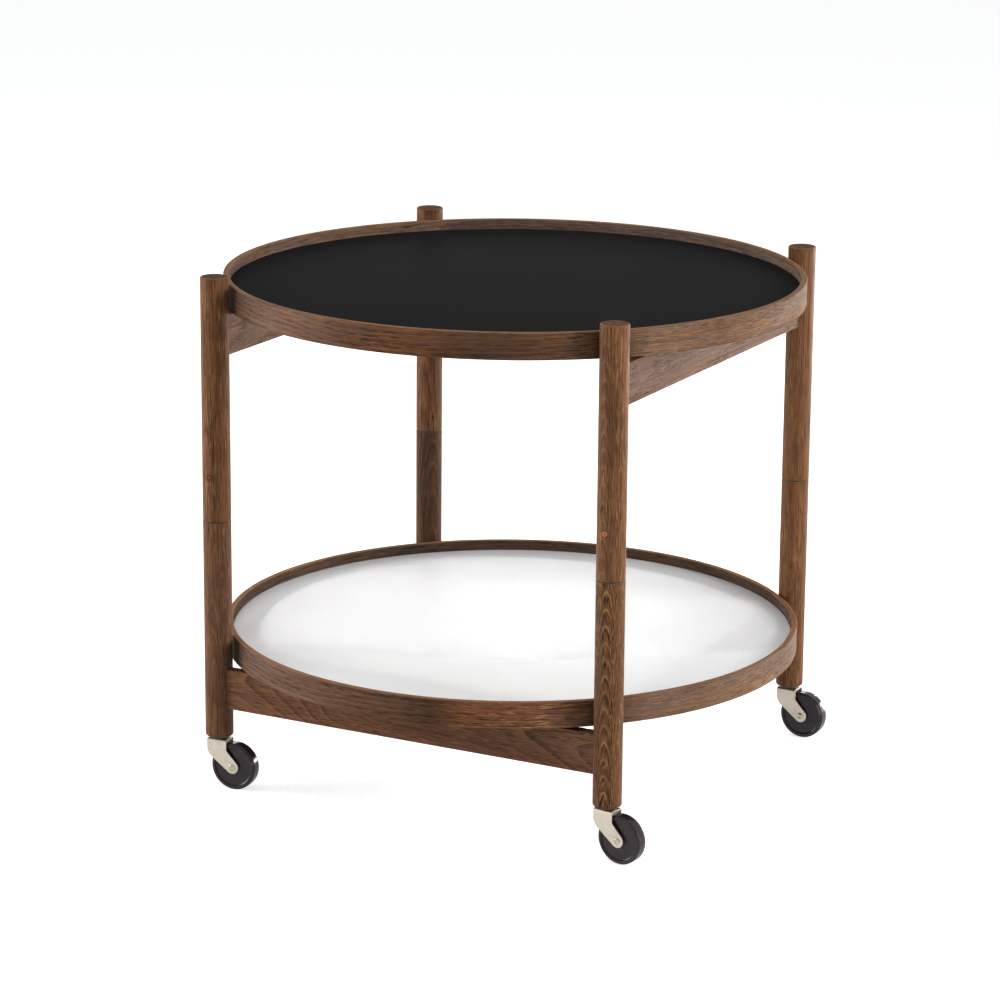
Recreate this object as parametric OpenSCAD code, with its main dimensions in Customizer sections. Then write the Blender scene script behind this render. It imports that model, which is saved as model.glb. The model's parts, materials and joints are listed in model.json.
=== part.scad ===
// Folding tray table on casters: two lift-off round trays in a four-legged wooden frame.
// Millimetres. The origin is on the floor under the middle of the table, and +Z is up.
// Legs by place: left (-X -Y), front (+X -Y), right (+X +Y), back (-X +Y).

/* [Trays] */

// Outside diameter of both trays
tray_d = 600; // [520:5:640]
// Height of a tray rim
rim_h = 27; // [25:0.5:32]
// Thickness of the rim wall
rim_t = 6.4; // [6:0.1:8]
// Radius on the rim's four edges
rim_edge_r = 1.2; // [0.6:0.1:1.6]
// Depth of the groove that holds the panel's core in the rim
groove_depth = 2.4; // [1.5:0.1:3]
// Whole thickness of a panel, both laminate sheets included
panel_t = 5; // [4:0.1:7]
// Thickness of one laminate sheet
laminate_t = 0.8; // [0.6:0.1:1]
// Clearance between the edge of a laminate sheet and the rim
sheet_gap = 0.1; // [0.05:0.05:0.3]
// Underside of the lower tray's rim above the floor
lower_tray_z = 133; // [130:1:150]
// Underside of the upper tray's rim above the floor
upper_tray_z = 502; // [480:1:510]
// Clearance between a tray and each leg
tray_leg_gap = 2.3; // [1:0.1:4]

/* [Legs] */

// Diameter of the legs
leg_d = 29; // [27:0.5:34]
// Top of the legs above the floor
leg_top_z = 540; // [535:1:560]
// Height of the turning seam half way up each leg
seam_z = 287; // [260:1:310]
// Rounding of the leg tops
leg_top_r = 1.5; // [0.8:0.1:3]
// Rounding of the leg bottoms
leg_bottom_r = 2.5; // [1:0.1:3]
// Rounding of the leg halves at the seam
seam_edge_r = 0.4; // [0.2:0.1:0.8]

/* [Rails] */

// Thickness of the rails
rail_t = 12; // [10:0.5:13]
// Height of the rails beside the legs
rail_h = 42; // [36:1:44]
// Drop of the rail top below the tray rim, beside the legs
rail_drop = 3.5; // [2:0.5:6]
// Depth that a rail end goes into its leg
rail_housing = 8; // [5:0.5:8]
// Rounding of the rails' long edges
rail_edge_r = 1.2; // [0.5:0.1:2]
// Clearance between the raised land of a rail and the inside of the rim
land_gap = 12; // [8:0.5:20]
// Rounding of the upper corners of the land
land_corner_r = 5; // [2:0.5:8]
// Clearance between a land and the panel that rests on it
seat_gap = 0.3; // [0.2:0.05:0.4]

/* [Leg pivots] */

// Diameter of the pivot pins
pin_d = 8; // [6:0.5:9]
// Length that a pivot pin goes into each leg half
pin_reach = 30; // [20:1:35]
// Radial running clearance of a pin in its bush
pin_fit = 0.05; // [0.02:0.01:0.1]
// Radial clearance at the right leg, where the closed linkage is opened
open_pivot_fit = 0.4; // [0.3:0.05:0.6]
// Wall of the bush in the upper leg half
bush_wall = 2; // [1.5:0.1:2.5]
// Length of the bush
bush_l = 33; // [24:1:36]
// Thickness of the washer in the seam
washer_t = 1; // [0.6:0.1:1.5]
// How far the washer stays back from the leg surface
washer_inset = 1; // [0.5:0.1:2]
// Clearance between the washer and the upper leg half
seam_gap = 0.3; // [0.2:0.05:0.4]

/* [Casters] */

// Wheel diameter
wheel_d = 50; // [44:1:60]
// Wheel width over its raised rings
wheel_w = 13; // [11:0.5:16]
// Distance from the swivel axis back to the axle
trail = 18.3; // [16:0.1:20]
// Thickness of the fork's sheet metal
fork_sheet = 1.5; // [1:0.1:2]
// Clearance between the top of the wheel and the fork's top plate
wheel_top_gap = 1.9; // [1.5:0.1:3]
// Clearance between the wheel and each cheek of the fork
wheel_side_gap = 0.6; // [0.5:0.1:1]
// Half length of the fork's top plate, ahead of the stem
plate_front = 10.5; // [10:0.5:12]
// Half length of the fork's top plate, behind the stem
plate_back = 11.8; // [11:0.1:13]
// Radius of the fork's lower ends
horn_r = 7; // [6:0.5:8]
// Height of a cheek's upright back edge, from the top of the plate down
cheek_skirt = 11.4; // [9.5:0.1:13]
// Diameter of the axle rivet
axle_d = 5; // [4:0.5:6]
// Radial running clearance of the wheel on its axle
axle_fit = 0.05; // [0.02:0.01:0.1]
// Diameter of the axle rivet's heads
axle_head_d = 7; // [6.5:0.5:8]
// Diameter of the caster stem
stem_d = 8; // [6:0.5:9]
// Radial running clearance of the stem in its socket
stem_fit = 0.05; // [0.02:0.01:0.1]
// Depth of the socket in the leg
socket_l = 30; // [24:1:31]
// Wall of the socket
socket_wall = 1.5; // [1:0.1:1.6]
// Diameter of the socket's flange and of the race under it
race_d = 17; // [15:0.5:19]
// Thickness of the socket's flange
flange_t = 0.8; // [0.6:0.1:1]
// Thickness of the race between the flange and the fork
race_t = 1.5; // [1:0.1:1.8]
// Clearance between the flange and the race
race_gap = 0.3; // [0.2:0.05:0.4]
// Direction in which the left caster trails, from +X towards +Y
caster_turn_left = 4; // [-180:1:180]
// Direction in which the front caster trails
caster_turn_front = -9; // [-180:1:180]
// Direction in which the right caster trails
caster_turn_right = -3; // [-180:1:180]
// Direction in which the back caster trails
caster_turn_back = -3; // [-180:1:180]

/* [Hidden] */

tray_r = tray_d / 2;
tray_inner_r = tray_r - rim_t;
leg_r = leg_d / 2;
// Half the distance between two neighbouring leg axes
leg_axis = (tray_r + tray_leg_gap + leg_r) / sqrt(2);
panel_below_top = (rim_h - panel_t) / 2;

rail_end = leg_axis - leg_r + rail_housing;
lower_rail_z = lower_tray_z - rail_drop - rail_h;
upper_rail_z = upper_tray_z - rail_drop - rail_h;
land_h = rail_drop + panel_below_top - seat_gap;
land_half_l = sqrt(pow(tray_inner_r, 2) - pow(leg_axis + rail_t / 2, 2)) - land_gap;

seam_low_z = seam_z - (washer_t + seam_gap) / 2;
seam_high_z = seam_z + (washer_t + seam_gap) / 2;
pin_top_z = seam_high_z + pin_reach;
// Spare depth over the end of a pin or a stem
end_room = 2;

socket_r = stem_d / 2 + stem_fit + socket_wall;
plate_low_z = wheel_d + wheel_top_gap;
plate_top_z = plate_low_z + fork_sheet;
// Lower end of the legs, which stand on the socket flanges
leg_bottom_z = plate_top_z + race_t + race_gap + flange_t;
stem_top_z = leg_bottom_z + socket_l - end_room;
stem_head_d = 11;
stem_head_t = 1.6;
axle_z = wheel_d / 2;
cheek_in = wheel_w / 2 + wheel_side_gap;
cheek_out = cheek_in + fork_sheet;
fork_bend_r = 2.2;
fork_bend_in_r = 0.7;
// Circle that rounds the front of a cheek, and how far its centre lies under the plate's top
cheek_front_r = 12;
cheek_front_drop = 9.4;
cheek_front_z = plate_top_z - cheek_front_drop;
cheek_break_z = plate_top_z - cheek_skirt;
axle_head_t = 1.3;
// Keeps the cheek's straight edges just inside the circles that they run into
tangent_inset = 0.02;
hub_r = 6.5;
hub_gap = 0.3;
// Raised ring on each side of the wheel, from the tread inwards
ring_inset = 1.6;
ring_t = 3;
ring_out_r = wheel_d / 2 - ring_inset;
ring_in_r = ring_out_r - ring_t;
dish_depth = 1.4;
ring_r = 1;
tread_r = 1.6;
overlap = 1;
wood = [0.42, 0.29, 0.21];
dark_wood = [0.36, 0.24, 0.18];
black_laminate = [0.13, 0.13, 0.13];
white_laminate = [0.95, 0.95, 0.94];
board = [0.62, 0.5, 0.36];
nickel = [0.8, 0.77, 0.71];
steel = [0.7, 0.7, 0.7];
brass = [0.78, 0.62, 0.3];
dark_plastic = [0.21, 0.18, 0.19];
dark_nylon = [0.12, 0.12, 0.12];

// Puts a piece on a leg axis: sx and sy are the signs of its place.
module at_leg(sx, sy) {
  translate([sx * leg_axis, sy * leg_axis, 0])
    children();
}

// Puts a caster piece on a leg axis, with its trailing direction turned from +X.
module at_caster(sx, sy, turn) {
  at_leg(sx, sy)
    rotate([0, 0, turn])
      children();
}

// Half section of a round bar from z0 to z1, with its two outer corners rounded.
module bar_section(r, z0, z1, r0, r1) {
  translate([0, z0 + r0])
    square([r, z1 - z0 - r0 - r1]);
  translate([0, z0])
    square([r - r0, r0]);
  translate([r - r0, z0 + r0])
    intersection() {
      circle(r0);
      translate([0, -r0])
        square(r0);
    }
  translate([0, z1 - r1])
    square([r - r1, r1]);
  translate([r - r1, z1 - r1])
    intersection() {
      circle(r1);
      square(r1);
    }
}

// Rounded rectangle with its lower left corner at the origin.
module soft_box(w, h, r) {
  translate([r, 0])
    square([w - 2 * r, h]);
  translate([0, r])
    square([w, h - 2 * r]);
  for (x = [r, w - r], y = [r, h - r])
    translate([x, y])
      circle(r);
}

// Straight bar of a rail, along X and centred on it, with its underside at z.
module rail_bar(z) {
  translate([-rail_end, 0, z])
    rotate([90, 0, 90])
      translate([-rail_t / 2, 0])
        linear_extrude(2 * rail_end)
          soft_box(rail_t, rail_h, rail_edge_r);
}

// Raised land in the middle of a rail, which carries the tray's panel inside its rim.
module rail_land(z) {
  intersection() {
    translate([-land_half_l, 0, z])
      rotate([90, 0, 90])
        translate([-rail_t / 2, 0])
          linear_extrude(2 * land_half_l)
            soft_box(rail_t, rail_h + land_h, rail_edge_r);
    translate([-land_half_l, rail_t / 2, z + rail_h / 2])
      rotate([90, 0, 0])
        linear_extrude(rail_t)
          soft_box(2 * land_half_l, rail_h / 2 + land_h, land_corner_r);
  }
}

module rail(z) {
  color(wood)
    union() {
      rail_bar(z);
      rail_land(z);
    }
}

module lower_rail(side) {
  translate([0, side * leg_axis, 0])
    rail(lower_rail_z);
}

module upper_rail(side) {
  translate([side * leg_axis, 0, 0])
    rotate([0, 0, 90])
      rail(upper_rail_z);
}

module lower_leg(sx, sy) {
  color(wood)
    difference() {
      at_leg(sx, sy)
        difference() {
          rotate_extrude()
            bar_section(leg_r, leg_bottom_z, seam_low_z, leg_bottom_r, seam_edge_r);
          translate([0, 0, leg_bottom_z - overlap])
            cylinder(r = socket_r, h = socket_l + overlap);
          translate([0, 0, seam_low_z - pin_reach])
            cylinder(d = pin_d, h = pin_reach + overlap);
        }
      translate([0, sy * leg_axis, 0])
        rail_bar(lower_rail_z);
    }
}

module upper_leg(sx, sy) {
  color(wood)
    difference() {
      at_leg(sx, sy)
        difference() {
          rotate_extrude()
            bar_section(leg_r, seam_high_z, leg_top_z, seam_edge_r, leg_top_r);
          translate([0, 0, seam_high_z - overlap])
            cylinder(r = pin_d / 2 + pin_fit + bush_wall, h = bush_l + overlap);
        }
      translate([sx * leg_axis, 0, 0])
        rotate([0, 0, 90])
          rail_bar(upper_rail_z);
    }
}

// The pin's foot is glued in the lower half, and fit is its clearance in the bush.
module pivot_pin(sx, sy, fit) {
  color(steel)
    at_leg(sx, sy)
      union() {
        translate([0, 0, seam_low_z - pin_reach])
          cylinder(d = pin_d, h = pin_reach);
        translate([0, 0, seam_low_z - overlap])
          cylinder(r = pin_d / 2 + pin_fit - fit, h = pin_top_z - seam_low_z + overlap);
      }
}

module pivot_bush(sx, sy) {
  color(brass)
    at_leg(sx, sy)
      translate([0, 0, seam_high_z])
        difference() {
          cylinder(r = pin_d / 2 + pin_fit + bush_wall, h = bush_l);
          translate([0, 0, -overlap])
            cylinder(r = pin_d / 2 + pin_fit, h = bush_l + 2 * overlap);
        }
}

module pivot_washer(sx, sy) {
  color(dark_nylon)
    at_leg(sx, sy)
      translate([0, 0, seam_low_z])
        difference() {
          cylinder(r = leg_r - washer_inset, h = washer_t);
          translate([0, 0, -overlap])
            cylinder(d = pin_d, h = washer_t + 2 * overlap);
        }
}

module tray_rim(z) {
  color(dark_wood)
    translate([0, 0, z])
      rotate_extrude()
        translate([tray_inner_r, 0])
          difference() {
            soft_box(rim_t, rim_h, rim_edge_r);
            translate([-overlap, panel_below_top + laminate_t])
              square([groove_depth + overlap, panel_t - 2 * laminate_t]);
          }
}

// One layer of the panel, from low to high above its underside.
module panel_layer(z, radius, low, high) {
  translate([0, 0, z + panel_below_top + low])
    cylinder(r = radius, h = high - low);
}

module tray_core(z) {
  color(board)
    panel_layer(z, tray_inner_r + groove_depth, laminate_t, panel_t - laminate_t);
}

module tray_top_sheet(z, finish) {
  color(finish)
    panel_layer(z, tray_inner_r - sheet_gap, panel_t - laminate_t, panel_t);
}

module tray_bottom_sheet(z, finish) {
  color(finish)
    panel_layer(z, tray_inner_r - sheet_gap, 0, laminate_t);
}

module caster_socket(sx, sy) {
  color(steel)
    at_leg(sx, sy)
      difference() {
        union() {
          translate([0, 0, leg_bottom_z - flange_t])
            cylinder(d = race_d, h = flange_t);
          translate([0, 0, leg_bottom_z - flange_t])
            cylinder(r = socket_r, h = socket_l + flange_t);
        }
        translate([0, 0, leg_bottom_z - flange_t - overlap])
          cylinder(r = stem_d / 2 + stem_fit, h = socket_l + flange_t + 2 * overlap);
      }
}

module caster_stem(sx, sy) {
  color(steel)
    at_leg(sx, sy)
      union() {
        translate([0, 0, plate_low_z - stem_head_t])
          cylinder(d = stem_head_d, h = stem_head_t);
        translate([0, 0, plate_low_z - overlap])
          cylinder(d = stem_d, h = stem_top_z - plate_low_z + overlap);
      }
}

module caster_race(sx, sy) {
  color(dark_nylon)
    at_leg(sx, sy)
      translate([0, 0, plate_top_z])
        difference() {
          cylinder(d = race_d, h = race_t);
          translate([0, 0, -overlap])
            cylinder(d = stem_d, h = race_t + 2 * overlap);
        }
}

// Sloping part of a cheek, between its front curve and the horn's round end.
module cheek_taper() {
  front = [cheek_front_r - plate_front, cheek_front_z];
  horn = [trail, axle_z];
  lean = atan2(horn[1] - front[1], horn[0] - front[0]);
  spread = acos((cheek_front_r - horn_r) / norm(horn - front));
  down = [cos(lean - spread), sin(lean - spread)];
  back = [plate_back, cheek_break_z];
  inner_r = horn_r - tangent_inset;
  turn = asin(inner_r / norm(horn - back));
  slope = atan2(horn[1] - back[1], horn[0] - back[0]) + turn;
  run = sqrt(pow(norm(horn - back), 2) - pow(inner_r, 2));
  polygon([
    [front[0], cheek_front_z + overlap],
    front + (cheek_front_r - tangent_inset) * down,
    horn + inner_r * down,
    back + run * [cos(slope), sin(slope)],
    back,
    [plate_back, cheek_front_z + overlap]
  ]);
}

// Outline of a fork cheek from the side: X trails, Y is height.
module cheek_outline() {
  cheek_taper();
  translate([trail, axle_z])
    circle(horn_r);
  translate([cheek_front_r - plate_front, cheek_front_z])
    intersection() {
      circle(cheek_front_r);
      translate([-cheek_front_r, -cheek_front_r])
        square([cheek_front_r, 2 * cheek_front_r]);
    }
  translate([-plate_front, cheek_front_z])
    square([plate_front + plate_back, plate_top_z - cheek_front_z]);
}

// Section of the bent sheet across the wheel, open downwards.
module fork_section() {
  difference() {
    union() {
      translate([-cheek_out, 0])
        square([2 * cheek_out, plate_top_z - fork_bend_r]);
      translate([-cheek_out, plate_top_z - 3 * fork_bend_r])
        soft_box(2 * cheek_out, 3 * fork_bend_r, fork_bend_r);
    }
    translate([-cheek_in, -overlap])
      square([2 * cheek_in, plate_low_z - fork_bend_in_r + overlap]);
    translate([-cheek_in, plate_low_z - 3 * fork_bend_in_r])
      soft_box(2 * cheek_in, 3 * fork_bend_in_r, fork_bend_in_r);
  }
}

module caster_fork(sx, sy, turn) {
  color(nickel)
    at_caster(sx, sy, turn)
      difference() {
        intersection() {
          translate([-2 * plate_front, 0, 0])
            rotate([90, 0, 90])
              linear_extrude(2 * plate_front + trail + 2 * horn_r)
                fork_section();
          translate([0, cheek_out, 0])
            rotate([90, 0, 0])
              linear_extrude(2 * cheek_out)
                cheek_outline();
        }
        translate([0, 0, plate_low_z - overlap])
          cylinder(d = stem_d, h = fork_sheet + 2 * overlap);
        translate([trail, cheek_out + overlap, axle_z])
          rotate([90, 0, 0])
            cylinder(d = axle_d, h = 2 * (cheek_out + overlap));
      }
}

// Axle rivet with a low domed head on each side.
module caster_axle(sx, sy, turn) {
  dome_r = (pow(axle_head_d / 2, 2) + pow(axle_head_t, 2)) / (2 * axle_head_t);
  color(nickel)
    at_caster(sx, sy, turn)
      translate([trail, 0, axle_z])
        rotate([90, 0, 0])
          rotate_extrude() {
            translate([0, -cheek_out])
              square([axle_d / 2, 2 * cheek_out]);
            for (side = [0, 1])
              mirror([0, side])
                intersection() {
                  translate([0, cheek_out + axle_head_t - dome_r])
                    circle(dome_r);
                  translate([0, cheek_out])
                    square([axle_head_d / 2, axle_head_t]);
                }
          }
}

// Half section of the wheel: radius across, width up.
module wheel_section() {
  bore_r = axle_d / 2 + axle_fit;
  hub_half = cheek_in - hub_gap;
  ring_half = wheel_w / 2;
  dish_half = ring_half - dish_depth;
  tread_half = ring_half - ring_r;
  translate([bore_r, -hub_half])
    square([hub_r - bore_r, 2 * hub_half]);
  translate([bore_r, -dish_half])
    square([ring_in_r + ring_r - bore_r, 2 * dish_half]);
  translate([ring_in_r, -ring_half])
    soft_box(ring_out_r - ring_in_r, 2 * ring_half, ring_r);
  translate([ring_in_r + ring_r, -tread_half])
    soft_box(wheel_d / 2 - ring_in_r - ring_r, 2 * tread_half, tread_r);
}

module caster_wheel(sx, sy, turn) {
  color(dark_plastic)
    at_caster(sx, sy, turn)
      translate([trail, 0, axle_z])
        rotate([90, 0, 0])
          rotate_extrude()
            wheel_section();
}

lower_leg(-1, -1);  // lower_leg_left
lower_leg(1, -1);  // lower_leg_front
lower_leg(1, 1);  // lower_leg_right
lower_leg(-1, 1);  // lower_leg_back
upper_leg(-1, -1);  // upper_leg_left
upper_leg(1, -1);  // upper_leg_front
upper_leg(1, 1);  // upper_leg_right
upper_leg(-1, 1);  // upper_leg_back
lower_rail(-1);  // lower_rail_front
lower_rail(1);  // lower_rail_back
upper_rail(-1);  // upper_rail_left
upper_rail(1);  // upper_rail_right
pivot_pin(-1, -1, pin_fit);  // pivot_pin_left
pivot_pin(1, -1, pin_fit);  // pivot_pin_front
pivot_pin(1, 1, open_pivot_fit);  // pivot_pin_right
pivot_pin(-1, 1, pin_fit);  // pivot_pin_back
pivot_bush(-1, -1);  // pivot_bush_left
pivot_bush(1, -1);  // pivot_bush_front
pivot_bush(1, 1);  // pivot_bush_right
pivot_bush(-1, 1);  // pivot_bush_back
pivot_washer(-1, -1);  // pivot_washer_left
pivot_washer(1, -1);  // pivot_washer_front
pivot_washer(1, 1);  // pivot_washer_right
pivot_washer(-1, 1);  // pivot_washer_back
tray_rim(upper_tray_z);  // upper_tray_rim
tray_core(upper_tray_z);  // upper_tray_core
tray_top_sheet(upper_tray_z, black_laminate);  // upper_tray_top_sheet
tray_bottom_sheet(upper_tray_z, white_laminate);  // upper_tray_bottom_sheet
tray_rim(lower_tray_z);  // lower_tray_rim
tray_core(lower_tray_z);  // lower_tray_core
tray_top_sheet(lower_tray_z, white_laminate);  // lower_tray_top_sheet
tray_bottom_sheet(lower_tray_z, black_laminate);  // lower_tray_bottom_sheet
caster_socket(-1, -1);  // caster_socket_left
caster_socket(1, -1);  // caster_socket_front
caster_socket(1, 1);  // caster_socket_right
caster_socket(-1, 1);  // caster_socket_back
caster_stem(-1, -1);  // caster_stem_left
caster_stem(1, -1);  // caster_stem_front
caster_stem(1, 1);  // caster_stem_right
caster_stem(-1, 1);  // caster_stem_back
caster_race(-1, -1);  // caster_race_left
caster_race(1, -1);  // caster_race_front
caster_race(1, 1);  // caster_race_right
caster_race(-1, 1);  // caster_race_back
caster_fork(-1, -1, caster_turn_left);  // caster_fork_left
caster_fork(1, -1, caster_turn_front);  // caster_fork_front
caster_fork(1, 1, caster_turn_right);  // caster_fork_right
caster_fork(-1, 1, caster_turn_back);  // caster_fork_back
caster_axle(-1, -1, caster_turn_left);  // caster_axle_left
caster_axle(1, -1, caster_turn_front);  // caster_axle_front
caster_axle(1, 1, caster_turn_right);  // caster_axle_right
caster_axle(-1, 1, caster_turn_back);  // caster_axle_back
caster_wheel(-1, -1, caster_turn_left);  // caster_wheel_left
caster_wheel(1, -1, caster_turn_front);  // caster_wheel_front
caster_wheel(1, 1, caster_turn_right);  // caster_wheel_right
caster_wheel(-1, 1, caster_turn_back);  // caster_wheel_back
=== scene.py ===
"""Looks of the tray table: wooden legs, rails and tray rims, laminate sheets and nickel casters.

The named sizes are in mm, as in the part's source, and MM turns them into Blender's metres.
"""
import json
import math

import bmesh
import bpy
from mathutils import Matrix, Vector


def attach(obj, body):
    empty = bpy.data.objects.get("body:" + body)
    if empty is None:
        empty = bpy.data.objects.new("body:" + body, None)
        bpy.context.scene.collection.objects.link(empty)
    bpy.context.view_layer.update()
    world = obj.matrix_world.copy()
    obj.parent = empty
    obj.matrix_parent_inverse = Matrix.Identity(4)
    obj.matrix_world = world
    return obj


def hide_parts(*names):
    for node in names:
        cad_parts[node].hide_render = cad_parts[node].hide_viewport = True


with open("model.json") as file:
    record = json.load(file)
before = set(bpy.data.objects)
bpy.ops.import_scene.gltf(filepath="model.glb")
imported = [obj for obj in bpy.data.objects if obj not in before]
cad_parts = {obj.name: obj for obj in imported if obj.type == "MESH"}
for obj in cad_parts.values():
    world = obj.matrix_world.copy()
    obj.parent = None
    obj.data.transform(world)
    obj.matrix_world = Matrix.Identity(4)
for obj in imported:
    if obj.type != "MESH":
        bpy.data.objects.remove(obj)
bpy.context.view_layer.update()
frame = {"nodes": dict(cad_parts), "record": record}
nodes = frame["nodes"]
BODY_OF = {node: body for body, held in frame["record"]["behaviour"]["bodies"].items() for node in held}

MM = 0.001

TRAY_R, RIM_H, RIM_T, RIM_EDGE_R = 300, 27, 6.4, 1.2
TRAY_INNER_R = TRAY_R - RIM_T
LOWER_TRAY_Z, UPPER_TRAY_Z = 133, 502
# The panel's underside over the rim's foot, its thickness, and the size of the sheets on both its sides
PANEL_LOW, PANEL_T, SHEET_R, SHEET_T = 11, 5, 293.5, 0.8

LEG_R, TRAY_LEG_GAP = 14.5, 2.3
LEG_BOTTOM_Z, LEG_TOP_Z, LEG_BOTTOM_R, LEG_TOP_R = 56, 540, 2.5, 1.6
SEAM_Z, SEAM_GAP, SEAM_EDGE_R = 287, 1.3, 0.5
SEAM_LOW, SEAM_HIGH = SEAM_Z - SEAM_GAP / 2, SEAM_Z + SEAM_GAP / 2
PIN_R, WASHER_INSET, WASHER_T = 4, 1, 1
LEG_AXIS = (TRAY_R + TRAY_LEG_GAP + LEG_R) / math.sqrt(2)
PLACES = {"left": (-1, -1), "front": (1, -1), "right": (1, 1), "back": (-1, 1)}

RAIL_T, RAIL_H, RAIL_EDGE_R, RAIL_HOUSING, RAIL_DROP = 12, 42, 1.2, 8, 3.5
LAND_GAP, LAND_CORNER_R, SEAT_GAP = 12, 5, 0.3
RAIL_END = LEG_AXIS - LEG_R + RAIL_HOUSING
LAND_H = RAIL_DROP + PANEL_LOW - SEAT_GAP
LAND_HALF = math.sqrt(TRAY_INNER_R ** 2 - (LEG_AXIS + RAIL_T / 2) ** 2) - LAND_GAP
LOWER_RAIL_Z = LOWER_TRAY_Z - RAIL_DROP - RAIL_H
UPPER_RAIL_Z = UPPER_TRAY_Z - RAIL_DROP - RAIL_H

# Directions in which the casters trail at rest, in degrees from +X
TURNS = {"left": 4, "front": -9, "right": -3, "back": -3}
TRAIL, AXLE_Z, PLATE_LOW, PLATE_TOP = 18.3, 25, 51.9, 53.4
PLATE_FRONT, PLATE_BACK, CHEEK_IN, CHEEK_OUT, BEND_OUT_R, BEND_IN_R = 10.5, 11.8, 7.1, 8.6, 2.2, 0.7
WHEEL_R, STEM_R, RACE_R, RACE_T, SOCKET_R, SOCKET_L, FLANGE_T = 25, 4, 8.5, 1.5, 5.55, 30, 0.8


# Colours and shader nodes

def srgb(text):
    """Linear colour of a hex code."""
    parts = [int(text[i:i + 2], 16) / 255 for i in (0, 2, 4)]
    return (*[c / 12.92 if c <= 0.04045 else ((c + 0.055) / 1.055) ** 2.4 for c in parts], 1)


class Shader:
    """A material with a Principled shader, and short ways to add nodes to it."""

    def __init__(self, name, **settings):
        self.material = bpy.data.materials.new(name)
        self.material.use_nodes = True
        self.tree = self.material.node_tree
        self.main = self.tree.nodes["Principled BSDF"]
        for key, value in settings.items():
            self.main.inputs[key.replace("_", " ")].default_value = value

    def fill(self, socket, value):
        """Links a socket to another, or sets it to a plain value."""
        if isinstance(value, bpy.types.NodeSocket):
            self.tree.links.new(value, socket)
        else:
            socket.default_value = value

    def add(self, kind, *inputs, out=0, **props):
        """Adds a node. Inputs are sockets to link or plain values, in order; None leaves one alone."""
        made = self.tree.nodes.new("ShaderNode" + kind)
        for key, value in props.items():
            setattr(made, key, value)
        for i, value in enumerate(inputs):
            if value is not None:
                self.fill(made.inputs[i], value)
        return made.outputs[out]

    def math(self, op, *inputs, clamp=False):
        return self.add("Math", *inputs, operation=op, use_clamp=clamp)

    def times(self, a, b, clamp=False):
        return self.math("MULTIPLY", a, b, clamp=clamp)

    def vector(self, op, *inputs):
        return self.add("VectorMath", *inputs, operation=op, out=1 if op in ("LENGTH", "DOT_PRODUCT") else 0)

    def join(self, x, y, z):
        return self.add("CombineXYZ", x, y, z)

    def split(self, vector):
        return self.add("SeparateXYZ", vector).node.outputs

    def noise(self, place, scale, detail=2.0, rough=0.5, shift=None):
        """Noise whose cells are 1 / scale metres long on each axis; shift gives another one of the kind."""
        if shift is not None:
            place = self.vector("ADD", place, shift)
        return self.add("TexNoise", self.vector("MULTIPLY", place, scale), None, 1.0, detail, rough,
                        noise_dimensions="3D", normalize=True)

    def span(self, value, low, high, to_low=0.0, to_high=1.0):
        """Maps low..high to to_low..to_high, clamped and smooth."""
        return self.add("MapRange", value, low, high, to_low, to_high,
                        interpolation_type="SMOOTHSTEP", clamp=True)

    def mix(self, factor, a, b, blend="MIX"):
        made = self.tree.nodes.new("ShaderNodeMix")
        made.data_type = "RGBA"
        made.blend_type = blend
        for i, value in ((0, factor), (6, a), (7, b)):
            self.fill(made.inputs[i], value)
        return made.outputs[2]

    def set(self, name, socket):
        self.tree.links.new(socket, self.main.inputs[name])

    def set_bump(self, height, distance, strength=0.5):
        made = self.tree.nodes.new("ShaderNodeBump")
        made.inputs["Strength"].default_value = strength
        made.inputs["Distance"].default_value = distance
        self.tree.links.new(height, made.inputs["Height"])
        self.set("Normal", made.outputs["Normal"])


# Wood

WOOD_DEEP = srgb("22150e")
WOOD_DARK = srgb("38241a")
WOOD_MID = srgb("6a452e")
WOOD_LIGHT = srgb("865c3b")
WOOD_OCHRE = srgb("ab7c4a")
WOOD_RED = srgb("6d3c29")
WOOD_GREY = srgb("76604e")
# The grey of a painted sheen laid over the wood
WOOD_SHEEN_GREY = srgb("7e7974")
END_DARK = srgb("241710")
KNOT_HEART = srgb("5a2c1f")
# A lighter, warmer tint for a painted highlight on a rim's top face
TOP_HIGHLIGHT_WARM = (1.25, 1.22, 1.2, 1)
AXES = {"x": (1, 0, 0), "y": (0, 1, 0), "z": (0, 0, 1)}
# Each piece takes its wood from another place in the pattern, so many metres on for a step of 1 in its seed
SEED_STEP = 1.37
# A rim is bent from two lengths, whose joints lie behind two of the legs and slope across its height
JOINT_ANGLE, JOINT_SLOPE = math.radians(42), 4.0
# The second length comes from this much further along and out in the pattern, in metres
LENGTH_ALONG, LENGTH_OUT = 0.61, 0.173


def rim_place(s, x, y, z):
    """The direction of a place in a bent rim, and the place itself along, out and up the straight wood."""
    angle = s.math("ARCTAN2", y, x)
    lean = s.math("ADD", angle, s.times(z, JOINT_SLOPE))
    length = s.math("FLOOR", s.times(s.math("ADD", lean, JOINT_ANGLE), 2 / math.tau))
    along = s.math("ADD", s.times(angle, TRAY_R * MM), s.times(length, LENGTH_ALONG))
    out = s.math("SUBTRACT", s.vector("LENGTH", s.join(x, y, 0.0)), TRAY_R * MM)
    return angle, s.join(along, s.math("ADD", out, s.times(length, LENGTH_OUT)), z)


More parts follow.
